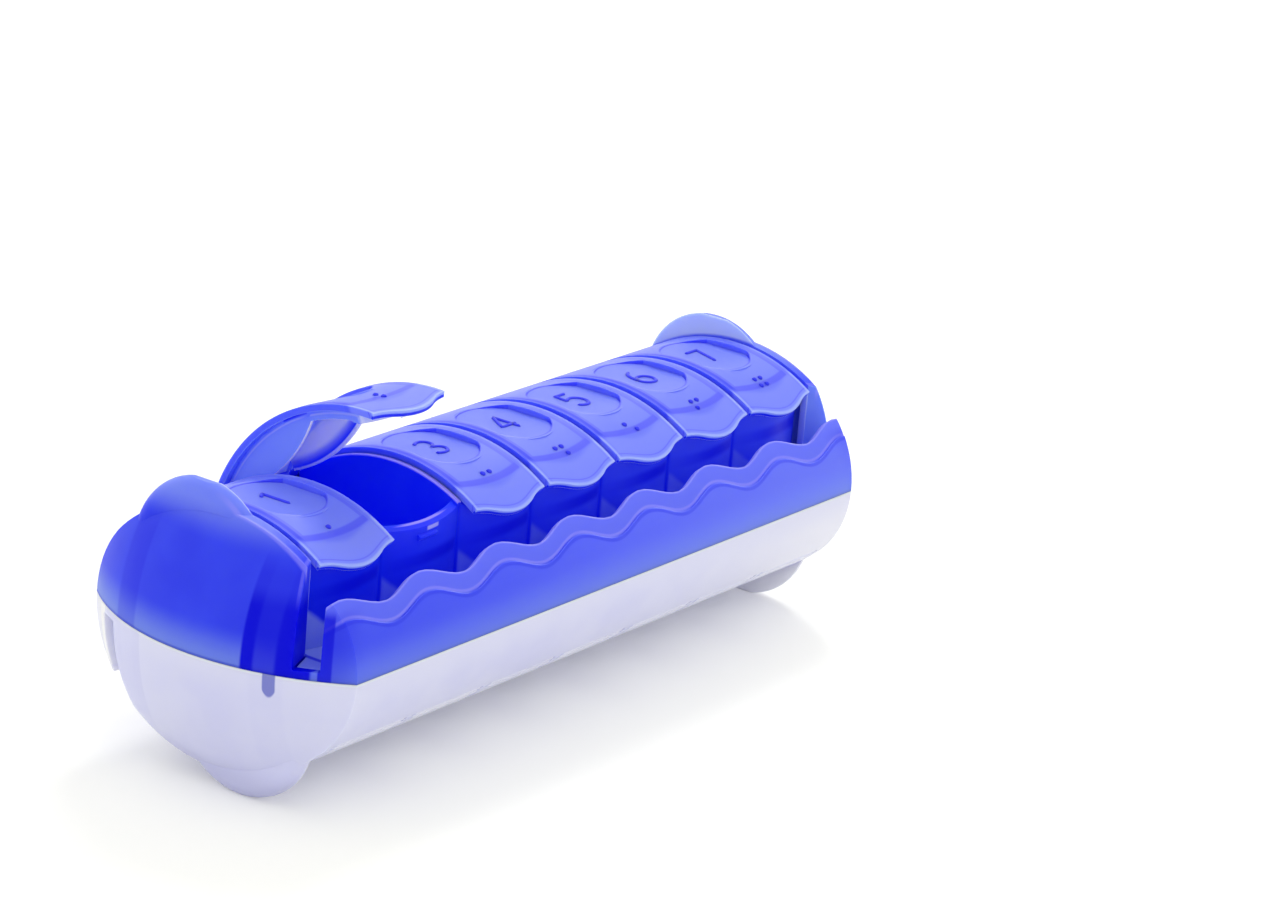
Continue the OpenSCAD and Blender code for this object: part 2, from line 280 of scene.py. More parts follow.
@dataclass(frozen=True)
class LidPlastic(Plastic):
    """Frosted lid: thicker ribs look deeper, thin edges lighter with painted highlight, gaps and
    recesses in painted shade, the underside in painted light.
    """

    rib: Color = srgb(76, 84, 244)
    # Paler thin edges with painted highlight along the tab and the sides.
    edge: Color = srgb(160, 178, 255)
    cheek: Color = srgb(124, 148, 255)
    leaf: Color = srgb(252, 252, 255)
    hood: Color = srgb(214, 222, 255)
    leaf_shade: Color = srgb(70, 92, 255)
    tab: Color = srgb(120, 134, 254)
    flank: Color = srgb(84, 102, 255)
    overhang_shade: Color = srgb(22, 44, 236)
    through: Color = srgb(120, 136, 252)
    through_share: float = 0.5
    through_front: Pair = (-14.6, -13.9)
    through_back: Pair = (-4.0, 15.0)
    through_rim: Pair = (-0.1, 0.1)
    through_side: Pair = (-0.2, 0.1)
    pitch: float = 21.4
    half_width: float = 9.85
    crown_radius: float = 33.9902
    crown_drop: float = 10.3902
    tab_angle: float = 35.7
    tab_wave: float = 1.3
    tab_end: Pair = (5.0, 6.5)
    tab_line: Triple = (1.1, 1.4, 0.12)
    tab_rim: Pair = (0.3, 0.8)
    behind_tab: Pair = (5.0, 7.0)
    window_radius: float = 8.9
    window_half: float = 7.55
    window_rim: Pair = (0.0, 0.1)
    window_floor: Pair = (21.8, 22.2)
    wall: Triple = (-0.25, 0.15, 0.1)
    wall_side: Pair = (-0.1, 0.0)
    wall_share: float = 0.9
    rib_centre: float = 19.778
    rib_radius: float = 34.08
    rib_half: Pair = (0.45, 0.95)
    rib_back: Pair = (-2.0, 0.0)
    rib_end: Pair = (8.2, 8.7)
    rib_share: float = 0.85
    web: Triple = (0.0, 0.9, 0.15)
    web_run: Triple = (-13.5, 18.0, 1.0)
    web_share: float = 0.45
    side_line: Triple = (0.95, 1.15, 0.1)
    line_share: float = 0.6
    hang_side: Pair = (1.3, 1.8)
    hang_share: float = 0.9
    side_rim: Triple = (0.1, 0.6, 0.1)
    side_rim_shares: Pair = (0.8, 0.6)
    rim_share: float = 0.8
    flank_depth: Pair = (0.02, 0.08)
    lower_depth: Pair = (0.4, 0.7)
    lower_slant: float = 0.72
    lower_edge: Pair = (0.2, 0.4)
    inner_depth: Pair = (1.11, 1.17)
    inner_cheek: Pair = (8.0, 8.3)
    under_depth: Pair = (1.6, 2.2)
    under_run: Triple = (-14.0, 20.0, 0.5)
    leaf_y: float = 15.2
    leaf_z: float = 40.65
    leaf_radius: float = 27.2
    leaf_middle: Pair = (0.5, 3.0)
    leaf_edge: Pair = (0.3, 0.6)
    leaf_side: Pair = (7.4, 7.5)
    cheek_side: Pair = (8.2, 8.4)

    def paint(self, spot: Spot) -> None:
        """Paints the top, the edges and the underside of a lid.

        Args:
            spot: Place on the lid and its colour.
        """
        spot.x = spot.x.of("WRAP", self.pitch / 2, -self.pitch / 2)
        wide = abs(spot.x)
        beyond = reach(spot.x, spot.y) - self.window_radius
        depth = self.crown_radius - reach(spot.y, spot.z + self.crown_drop)
        lean = (-spot.y * (1.0 / self.crown_radius)).of("ARCSINE")
        slope = (np.radians(self.tab_angle) - lean) * self.crown_radius
        tip = slope + (spot.x * (2.0 * np.pi / self.pitch)).of("COSINE") * self.tab_wave
        self.paint_top(spot, wide, beyond, tip)
        self.paint_edges(spot, wide, depth, tip)
        self.paint_underside(spot, wide, beyond, depth)

    def paint_top(self, spot: Spot, wide: Wire, beyond: Wire, tip: Wire) -> None:
        """Paints the tab, the pocket seen through the lid, the ribs, and painted shade on the
        window's wall.

        Args:
            spot: Place on the lid and its colour.
            wide: Distance from the lid's middle line.
            beyond: Distance outwards from the window's round rim.
            tip: Distance up the crown from the wavy edge of the tab.
        """
        y, past = spot.y, wide - self.window_half
        spot.over(tip.fall(*self.tab_end), self.tab)
        through = y.ramp(*self.through_front) * y.fall(*self.through_back)
        through = through.at_least(beyond.fall(*self.through_rim)) * past.fall(*self.through_side)
        spot.over(through * self.through_share, self.through)
        rib = abs(reach(spot.x, y - self.rib_centre) - self.rib_radius).fall(*self.rib_half)
        rib = rib * y.fall(*self.rib_back) * wide.fall(*self.rib_end)
        web = past.within(*self.web) * y.within(*self.web_run)
        # The window's wall takes the rib colour as painted shade in the window's recess.
        wall = beyond.within(*self.wall) * past.fall(*self.wall_side)
        side_line = (self.half_width - wide).within(*self.side_line)
        line = tip.within(*self.tab_line).at_least(side_line * self.line_share)
        ribs = (rib * self.rib_share).at_least(web * self.web_share)
        ribs = ribs.at_least(wall * self.wall_share).at_least(line * self.line_share)
        spot.over(ribs, self.rib)

    def paint_edges(self, spot: Spot, wide: Wire, depth: Wire, tip: Wire) -> None:
        """Paints painted shade on the near side strip, the flanks and the tab's lower edge, and the
        light rims with painted highlight.

        Args:
            spot: Place on the lid and its colour.
            wide: Distance from the lid's middle line.
            depth: Distance below the crown.
            tip: Distance up the crown from the wavy edge of the tab.
        """
        side = self.half_width - wide
        behind = tip.ramp(*self.behind_tab)
        # Dark strip on the near side: painted shade of the gap seen through the thin edge that juts
        # past the cheek.
        near = (spot.x + self.half_width).fall(*self.hang_side)
        spot.over(near * behind * self.hang_share, self.overhang_shade)
        # Light rims on the tab edge and the sides: paler thin edge with painted highlight.
        whole, less = self.side_rim_shares
        rim = tip.fall(*self.tab_rim)
        rim = rim.at_least(side.within(*self.side_rim) * (whole - less * behind))
        spot.over(rim * self.rim_share, self.edge)
        # Side faces painted deeper: painted shade of the narrow gap between lids.
        spot.over(side.fall(*self.flank_depth) * behind, self.flank)
        # Lower half of the tab's front face: painted shade, as dark as the shaded tray below it.
        lower = (tip - depth * self.lower_slant).fall(*self.lower_edge)
        spot.over(depth.ramp(*self.lower_depth) * lower, self.overhang_shade)

    def paint_underside(self, spot: Spot, wide: Wire, beyond: Wire, depth: Wire) -> None:
        """Paints the inside of the hood and the two leaf-shaped cheeks, with painted light on the
        hood's inside and on the leaf.

        Args:
            spot: Place on the lid and its colour.
            wide: Distance from the lid's middle line.
            beyond: Distance outwards from the window's round rim.
            depth: Distance below the crown.
        """
        blend, y, z = spot.graph.blend, spot.y, spot.z
        sunk = beyond.fall(*self.window_rim) * z.ramp(*self.window_floor)
        # Inside of the hood painted pale: painted light that passes through the thin lid.
        inside = blend(wide.ramp(*self.inner_cheek), self.hood, self.cheek)
        spot.over(depth.ramp(*self.inner_depth) * (1.0 - sunk), inside)
        under = depth.ramp(*self.under_depth) * y.within(*self.under_run)
        # Leaf on the cheek's inner face: painted light through the thin cheek, pale in the middle
        # and at the free edge, darker between.
        inset = self.leaf_radius - reach(y - self.leaf_y, z - self.leaf_z)
        pale = inset.ramp(*self.leaf_middle).at_least(inset.fall(*self.leaf_edge))
        spot.over(under * wide.ramp(*self.leaf_side), blend(pale, self.leaf_shade, self.leaf))
        spot.over(under * wide.ramp(*self.cheek_side), self.cheek)


@dataclass(frozen=True)
class ShellPlastic(Plastic):
    """Half shell: posts show deep through the caps, thin parts look lighter, rounded edges carry
    painted highlight, and painted light and shade fall on the cap tops, the niche and the far end.
    """

    low: Color = srgb(122, 146, 232)
    roof_light_and_shade: Color = srgb(120, 138, 242)
    band: Color = srgb(104, 116, 240)
    post: Color = srgb(0, 2, 222)
    post_share: float = 1.0
    rail: Color = srgb(70, 86, 238)
    rail_far_light: Color = srgb(110, 124, 252)
    pin: Color = srgb(24, 12, 222)
    pin_share: float = 0.0
    lit_edge: Color = srgb(164, 160, 250)
    arch: Color = srgb(188, 202, 255)
    niche: Color = srgb(118, 142, 255)
    rail_end: Color = srgb(0, 2, 222)
    far_end_light: Color = srgb(110, 128, 255)
    far_end_light_share: float = 0.3
    seam: Color = srgb(60, 74, 236)
    seam_share: float = 0.6
    step_shade: Color = srgb(40, 52, 224)
    pitch: float = 21.4
    cap_face: float = 75.2
    cap_start: Pair = (-0.3, 0.3)
    front_start: Pair = (-22.5, -21.5)
    body_run: Pair = (0.0, 86.0)
    rail_run: Pair = (-90.0, 90.0)
    roof_run: Pair = (0.0, 60.0)
    roof_rise: Pair = (18.5, 25.0)
    low_rise: Pair = (0.5, 7.0)
    low_shares: Pair = (0.8, 0.3)
    seam_rise: Pair = (0.3, 0.6)
    seam_less: float = 0.8
    front_post: Triple = (-23.0, -11.3, 0.3)
    front_gap: Triple = (-17.3, -13.6, 0.4)
    front_gap_share: float = 0.2
    front_fade: Pair = (11.0, 15.0)
    front_fade_share: float = 0.5
    back_post: Triple = (13.0, 18.7, 0.5)
    back_post_share: float = 0.35
    post_top: Pair = (16.0, 21.0)
    slant: float = 0.4
    niche_slant: Pair = (-12.65, -12.5)
    niche_run: Pair = (0.0, 10.0)
    recess_end: Pair = (80.2, 80.8)
    recess_back: Pair = (-11.5, -11.0)
    recess_top: Pair = (14.0, 16.0)
    pin_y: float = 16.5
    pin_side: Pair = (0.0, 1.0)
    pin_square: Pair = (0.9, 1.5)
    pin_end: Pair = (3.9, 4.5)
    crease: Triple = (76.9, 77.6, 0.2)
    crease_rise: Pair = (15.0, 17.0)
    crease_back: Pair = (-3.0, 3.0)
    corner: Triple = (-13.23, -12.63, 0.15)
    corner_rise: Pair = (11.0, 16.0)
    corner_share: float = 0.6
    crease_share: float = 0.45
    side_centre: float = 10.1
    side_radius: float = 19.5
    crown_radius: float = 33.9902
    crown_drop: float = 10.3902
    arch_crown: Pair = (-0.6, -0.3)
    arch_side: Pair = (-0.9, -0.6)
    arch_hump: Pair = (-0.1, 0.6)
    arch_start: Pair = (-0.2, -0.05)
    arch_end: Pair = (0.0, 0.3)
    arch_rise: Pair = (-12.0, 24.0)
    rail_edge: float = 13.68
    rail_wave: float = 1.4
    rail_band: Triple = (-1.0, 3.9, 0.15)
    rail_band_share: float = 0.8
    rail_line: Triple = (3.2, 3.7, 0.2)
    rail_rim: Triple = (-0.2, 0.3, 0.15)
    rail_trough: Triple = (4.0, 4.7, 0.2)
    rail_line_share: float = 0.5
    end_centre: float = 39.2
    end_radius: float = 47.0
    end_angle: float = 31.3
    end_start: Pair = (-0.6, -0.3)
    end_core: Pair = (1.7, 2.4)
    end_fade: Pair = (2.0, 8.0)
    end_fade_share: float = 0.4
    end_top: Pair = (10.5, 12.5)
    end_share: float = 0.9

    def paint(self, spot: Spot) -> None:
        """Paints the walls, the caps, the inner arch and the rail of a half shell.

        Args:
            spot: Place on the shell and its colour.
        """
        far = abs(spot.x)
        cap = (far - self.cap_face).ramp(*self.cap_start)
        front = spot.y.fall(*self.front_start)
        self.paint_walls(spot, cap, front)
        self.paint_cap(spot, far, cap, front)
        self.paint_arch(spot, far)
        self.paint_rail(spot, far, front)

    def paint_walls(self, spot: Spot, cap: Wire, front: Wire) -> None:
        """Paints the walls and the foot, lighter towards the far end as painted light, the top of
        the caps in painted light and shade, and the seam between the halves.

        Args:
            spot: Place on the shell and its colour.
            cap: 1 on the end caps.
            front: 1 on the rail at the front.
        """
        blend, x, z = spot.graph.blend, spot.x, spot.z
        # Painted light: the body grows lighter towards the far end.
        spot.over(x.ramp(*self.body_run) * self.far_end_light_share, self.far_end_light)
        # The rail grows lighter towards the far end as painted light.
        spot.over(front, blend(x.ramp(*self.rail_run), self.rail, self.rail_far_light))
        whole, less = self.low_shares
        spot.over(z.fall(*self.low_rise) * (whole - front * less), self.low)
        # Top of the caps in painted light and shade: lighter where it faces up on the blue half,
        # darker where it faces down on the white half.
        roof_light_and_shade = blend(x.ramp(*self.roof_run) * self.far_end_light_share, self.roof_light_and_shade, self.far_end_light)
        spot.over(cap * z.ramp(*self.roof_rise) * (1.0 - front), roof_light_and_shade)
        # Band along the parting line; on the white half it is paler, as painted light at the thin
        # top edge.
        seam = z.fall(*self.seam_rise) * (1.0 - self.seam_less * front)
        spot.over(seam * self.seam_share, self.seam)

    def paint_cap(self, spot: Spot, far: Wire, cap: Wire, front: Wire) -> None:
        """Paints posts, niche, pins and lit edges of the end caps; the niche in painted light, the
        lit edges in painted highlight.

        Args:
            spot: Place on the shell and its colour.
            far: Distance from the middle of the case along it.
            cap: 1 on the end caps.
            front: 1 on the rail at the front.
        """
        x, y, z = spot.x, spot.y, spot.z
        post = y.within(*self.front_post)
        post = post * (1.0 - self.front_gap_share * y.within(*self.front_gap))
        post = post * (1.0 - self.front_fade_share * z.ramp(*self.front_fade))
        post = post.at_least(y.within(*self.back_post) * self.back_post_share)
        spot.over(post * cap * z.fall(*self.post_top) * self.post_share, self.post)
        across = -y - self.slant * far
        # Niche and recess of the far cap painted lighter: painted light shining through the thin
        # wall.
        recess = far.fall(*self.recess_end) * y.fall(*self.recess_back) * z.fall(*self.recess_top)
        niche = across.ramp(*self.niche_slant).at_least(recess) * x.ramp(*self.niche_run)
        spot.over(niche * cap * (1.0 - front), self.niche)
        square = (abs(y) - self.pin_y) ** 2.0
        pin = square.fall(*self.pin_square) * (z + square).fall(*self.pin_end)
        pin = pin * (y * x * -1.0).ramp(*self.pin_side)
        spot.over(pin * cap * self.pin_share, self.pin)
        # Painted highlight on the crease and the corner of the caps.
        crease = far.within(*self.crease) * z.ramp(*self.crease_rise) * y.fall(*self.crease_back)
        corner = across.within(*self.corner) * z.ramp(*self.corner_rise) * self.corner_share
        spot.over(crease.at_least(corner) * cap * self.crease_share, self.lit_edge)

    def paint_arch(self, spot: Spot, far: Wire) -> None:
        """Paints the inner face of the caps pale as painted light, where the row of lids leaves it
        open to the light.

        Args:
            spot: Place on the shell and its colour.
            far: Distance from the middle of the case along it.
        """
        y, z = spot.y, spot.z
        rise = reach(y, z + self.crown_drop) - self.crown_radius
        side = reach((abs(y) - self.side_centre).at_least(0.0), z) - self.side_radius
        below = rise.fall(*self.arch_crown) * side.fall(*self.arch_side)
        beyond = far - self.cap_face
        inside = beyond.fall(*self.arch_end) * beyond.ramp(*self.arch_start)
        inside = inside * below.at_least(rise.ramp(*self.arch_hump))
        spot.over(inside * z.ramp(*self.arch_rise), self.arch)

    def paint_rail(self, spot: Spot, far: Wire, front: Wire) -> None:
        """Paints the wavy band of the front rail, its lines of painted highlight and painted shade,
        and its ends.

        Args:
            spot: Place on the shell and its colour.
            far: Distance from the middle of the case along it.
            front: 1 on the rail at the front.
        """
        x, y, z = spot.x, spot.y, spot.z
        climb = z.of("ARCTAN2", -y - self.side_centre) * self.side_radius
        swing = (x * (2.0 * np.pi / self.pitch)).of("COSINE") * self.rail_wave
        wave = self.rail_edge - swing - climb
        spot.over(wave.within(*self.rail_band) * front * self.rail_band_share, self.band)
        # Painted highlight along the rail's step and edge, painted shade in the line under the
        # step.
        lines = wave.within(*self.rail_line).at_least(wave.within(*self.rail_rim))
        spot.over(lines * front * self.rail_line_share, self.lit_edge)
        spot.over(wave.within(*self.rail_trough) * front * self.rail_line_share, self.step_shade)
        turn = (-y).of("ARCTAN2", far - self.end_centre) * self.end_radius
        turn = turn - float(np.radians(self.end_angle)) * self.end_radius
        end = turn.fall(*self.end_core).at_least(turn.fall(*self.end_fade) * self.end_fade_share)
        end = end * turn.ramp(*self.end_start) * front * z.fall(*self.end_top)
        spot.over(end * self.end_share, self.rail_end)


@dataclass(frozen=True)
class TrayPlastic(Plastic):
    """Tray: saturated walls with pale top rims of painted highlight, and painted light and shade on
    the pocket fronts.
    """

    rim: Color = srgb(168, 156, 255)
    glow: Color = srgb(112, 128, 255)
    shade: Color = srgb(2, 4, 226)
    light: Color = srgb(150, 168, 255)
    catch_glint: Color = srgb(196, 194, 255)
    pitch: float = 21.4
    crown_drop: float = 10.3902
    front_radius: float = 36.578
    front_centre: float = 19.778
    front_start: Pair = (-15.6, -15.0)
    long_run: Pair = (-70.0, 70.0)
    last_pocket: Pair = (66.0, 70.0)
    near_share: float = 0.35
    glow_shares: Pair = (0.02, 0.28)
    hollow_corner: float = 9.0
    hollow_slant: float = 0.75
    hollow_top: Pair = (8.0, 9.5)
    hollow_side: Pair = (-10.3, -9.8)
    hollow_shares: Pair = (0.8, 0.2)
    plate_top: Pair = (1.4, 1.7)
    plate_front: Pair = (-17.5, -17.0)
    groove: Pair = (9.9, 10.5)
    shade_rise: Triple = (10.2, 12.4, 0.7)
    shade_run: Pair = (-14.0, 6.0)
    shade_share: float = 0.85
    lip: Triple = (32.26, 32.4, 0.05)
    lip_depth: Pair = (0.75, 0.95)
    rim_rise: Pair = (32.59, 32.84)
    rim_share: float = 0.8
    catch_run: Triple = (0.2, 3.4, 0.3)
    catch_rise: Triple = (31.6, 32.2, 0.15)
    catch_depth: Pair = (0.04, 0.12)
    catch_share: float = 0.7

    def paint(self, spot: Spot) -> None:
        """Paints the pocket fronts in painted light and shade, painted light in the hollows under
        the floors and on the plate, painted highlight on the rims and a painted glint by the
        catches.

        Args:
            spot: Place on the tray and its colour.
        """
        blend, y, z = spot.graph.blend, spot.y, spot.z
        along = spot.x.ramp(*self.long_run)
        last = abs(spot.x).ramp(*self.last_pocket)
        x = spot.x.of("WRAP", self.pitch / 2, -self.pitch / 2)
        high = reach(y, z + self.crown_drop)
        front = y.fall(*self.front_start)
        skin = self.front_radius - reach(x, y - self.front_centre)
        # Pocket fronts: painted shade towards the near end, painted glow of light through the
        # plastic growing towards the far end.
        spot.over(front * (1.0 - along) * self.near_share, self.shade)
        start, more = self.glow_shares
        spot.over(front * (start + along * more), self.glow)
        # Painted light in the hollows under the pocket floors, stronger in the end pockets.
        slope = z + (x + self.hollow_corner) * self.hollow_slant
        hollow = slope.fall(*self.hollow_top) * x.ramp(*self.hollow_side)
        start, more = self.hollow_shares
        spot.over(hollow * front * (start + last * more), blend(last, self.glow, self.light))
        # Painted light on the plate in front of the pockets.
        spot.over(z.fall(*self.plate_top) * y.fall(*self.plate_front), self.light)
        shade = z.within(*self.shade_rise) * x.ramp(*self.shade_run)
        shade = abs(x).ramp(*self.groove).at_least(shade)
        spot.over(shade * front * (1.0 - hollow) * self.shade_share, self.shade)
        # Pale lines on the rims and the front lip: painted highlight.
        lip = high.within(*self.lip) * front * skin.ramp(*self.lip_depth)
        spot.over(high.ramp(*self.rim_rise).at_least(lip) * self.rim_share, self.rim)
        # Painted glint at the latch bump under the front lip.
        catch_glint = x.within(*self.catch_run) * high.within(*self.catch_rise)
        spot.over(catch_glint * skin.fall(*self.catch_depth) * self.catch_share, self.catch_glint)


BLUE_SHELL = ShellPlastic("blue_shell", srgb(58, 76, 242), srgb(50, 66, 236), sheen=0.12)
BLUE_LID = LidPlastic("blue_lid", srgb(108, 122, 252), srgb(101, 115, 250))
BLUE_TRAY = TrayPlastic("blue_tray", srgb(28, 56, 255), srgb(20, 44, 255), milk=0.6, sheen=0.12)
WHITE_SHELL = ShellPlastic(
    "white_shell",
    srgb(222, 223, 250),
    srgb(216, 217, 246),
    milk=0.6,
    travel=(1.0, 1.0, 1.0),
    low=srgb(224, 225, 250),
    roof_light_and_shade=srgb(200, 201, 230),
    band=srgb(236, 236, 255),
    post=srgb(190, 191, 230),
    post_share=0.25,
    rail_end=srgb(255, 255, 255),
    niche=srgb(246, 246, 255),
    rail=srgb(228, 229, 254),
    rail_far_light=srgb(238, 238, 253),
    far_end_light=srgb(236, 236, 252),
    far_end_light_share=1.0,
    seam=srgb(230, 236, 255),
    seam_share=1.0,
    step_shade=srgb(208, 209, 236),
    pin=srgb(112, 120, 204),
    pin_share=0.85,
    lit_edge=srgb(252, 252, 255),
    arch=srgb(246, 246, 255),
)
WHITE_LID = LidPlastic(
    "white_lid",
    srgb(236, 237, 254),
    srgb(230, 231, 252),
    rib=srgb(206, 208, 236),
    edge=srgb(250, 250, 255),
    milk=0.6,
    travel=(1.0, 1.0, 1.0),
    cheek=srgb(240, 240, 255),
    leaf=srgb(246, 246, 255),
    hood=srgb(244, 244, 255),
    leaf_shade=srgb(226, 226, 250),
    tab=srgb(242, 243, 255),
    flank=srgb(222, 222, 244),
    overhang_shade=srgb(208, 210, 238),
    through=srgb(162, 167, 216),
    through_share=1.0,
)
BLUE_MARK = Plastic("blue_mark", srgb(62, 70, 240), srgb(54, 62, 235), 0.5, 0.4)
WHITE_MARK = Plastic("white_mark", srgb(205, 206, 238), srgb(196, 197, 232), 0.5, 0.4)


def mesh_piece(
    name: str, points: np.ndarray, quads: np.ndarray, body: str
) -> bpy.types.Object:
    """Makes a piece from points in metres and rides it on a body.

    Args:
        name: Name of the piece.
        points: Points as rows of x, y, z in metres.
        quads: Faces as rows of four point numbers.
        body: Body that carries the piece.

    Returns:
        The new object.
    """
    data = bpy.data.meshes.new(name)
    data.from_pydata(points.tolist(), [], quads.tolist())
    data.polygons.foreach_set("use_smooth", np.ones(len(data.polygons), dtype=bool))
    data.update()
    piece = bpy.data.objects.new(name, data)
    bpy.context.scene.collection.objects.link(piece)
    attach(piece, body)
    return piece


def grid_quads(rows: int, columns: int, start: int = 0) -> np.ndarray:
    """Faces of a grid that closes round its columns.

    Args:
        rows: Number of rings.
        columns: Points in each ring.
        start: Number of the first point.

    Returns:
        One row of four point numbers per face.
    """
    ring, step = np.meshgrid(np.arange(rows - 1), np.arange(columns), indexing="ij")
    here, after = ring * columns, (ring + 1) * columns
    following = (step + 1) % columns
    corners = [here + step, here + following, after + following, after + step]
    return np.stack(corners, -1).reshape(-1, 4) + start


@dataclass(frozen=True)
class Stroke:
    """A raised line of a numeral: a round profile carried along a flat path."""

    width: float = 0.75
    height: float = 0.35
    sides: int = 12

    def surface(self, path: np.ndarray, floor: float) -> np.ndarray:
        """Points of the closed ridge.

        Each ring is an ellipse across the path: half the width times the cosine sideways, the
        height times the sine upwards. Towards an end it shrinks as a quarter circle, so the ends
        are round.

        Args:
            path: Path points as rows of x, y in millimetres.
            floor: Height of the floor that carries the ridge.

        Returns:
            Ring points as an array of rings, sides and x, y, z.
        """
        along = np.gradient(path, axis=0)
        along /= np.linalg.norm(along, axis=1, keepdims=True)
        across = np.stack([-along[:, 1], along[:, 0]], -1)
        run = np.concatenate([[0.0], np.cumsum(np.linalg.norm(np.diff(path, axis=0), axis=1))])
        end = np.minimum(np.minimum(run, run[-1] - run) / (self.width / 2), 1.0)
        size = np.sqrt(np.maximum(1.0 - (1.0 - end) ** 2, 0.0))
        turn = np.linspace(0.0, 2.0 * np.pi, self.sides, endpoint=False)
        side = self.width / 2 * size[:, None] * np.cos(turn)
        up = self.height * size[:, None] * np.sin(turn)
        flat = path[:, None, :] + across[:, None, :] * side[..., None]
        return np.concatenate([flat, (floor + up)[..., None]], -1)


def arc(centre: Pair, radius: Pair, start: float, stop: float, count: int = 24) -> np.ndarray:
    """Points on an ellipse: its centre plus the radii times cosine and sine of the angle.

    Args:
        centre: Middle of the ellipse.
        radius: Half its width and half its height.
        start: First angle in degrees.
        stop: Last angle in degrees.
        count: Number of points.

    Returns:
        Points as rows of x, y.
    """
    angle = np.radians(np.linspace(start, stop, count))
    across = centre[0] + radius[0] * np.cos(angle)
    return np.stack([across, centre[1] + radius[1] * np.sin(angle)], -1)


def line(*corners: Pair, count: int = 14) -> np.ndarray:
    """Evenly spaced points along straight pieces, each a weighted mean of its two corners.

    Args:
        corners: Corners of the path.
        count: Number of steps in each piece.

    Returns:
        Points as rows of x, y.
    """
    points = np.array(corners, float)
    t = np.linspace(0.0, len(points) - 1.0, count * (len(points) - 1) + 1)
    return np.stack([np.interp(t, np.arange(len(points)), points[:, k]) for k in (0, 1)], -1)


def numeral(number: int) -> np.ndarray:
    """Path of a numeral in a box of half width 2.5 and half height 4 millimetres.

    Args:
        number: Number from 1 to 7.

    Returns:
        Points as rows of x, y: straight pieces and parts of ellipses, one after the other.
    """
    strokes = {
        1: [line((-1.5, 2.6), (0.2, 4.0), (0.2, -4.0))],
        2: [
            arc((0.0, 1.8), (2.2, 2.2), 165, -25),
            line((1.9, 0.8), (-2.3, -4.0))[1:],
            line((-2.3, -4.0), (2.4, -4.0))[1:],
        ],
        3: [
            arc((0.0, 2.0), (2.1, 2.0), 150, -80),
            arc((0.0, -2.0), (2.4, 2.0), 85, -150)[1:],
        ],
        4: [line((1.2, -4.0), (1.2, 4.0), (-2.5, -1.6), (2.5, -1.6))],
        5: [
            line((2.0, 4.0), (-1.6, 4.0)),
            line((-1.6, 4.0), (-2.0, 0.5))[1:],
            arc((-0.1, -1.4), (2.4, 2.6), 135, -150),
        ],
        6: [
            arc((1.2, -1.2), (3.5, 5.2), 95, 180),
            arc((0.0, -1.7), (2.3, 2.3), 180, 540, 40)[1:],
        ],
        7: [line((-2.3, 4.0), (2.3, 4.0), (-0.8, -4.0))],
    }
    return np.concatenate(strokes[number])


DOTS = {1: (1,), 2: (1, 2), 3: (1, 4), 4: (1, 4, 5), 5: (1, 5), 6: (1, 2, 4), 7: (1, 2, 4, 5)}
DOT_ROWS = 3


def half_place(half: Half) -> Matrix:
    """Takes millimetres of one half, parting plane at 0, to metres of the object."""
    side = Matrix.Rotation(np.pi if half is Half.LOWER else 0.0, 4, "X")
    return Matrix.Scale(MM, 4) @ Matrix.Translation((0.0, 0.0, PARTING)) @ side


def dress(piece: bpy.types.Object, material: bpy.types.Material) -> None:
    """Gives a piece one material."""
    piece.data.materials.clear()
    piece.data.materials.append(material)


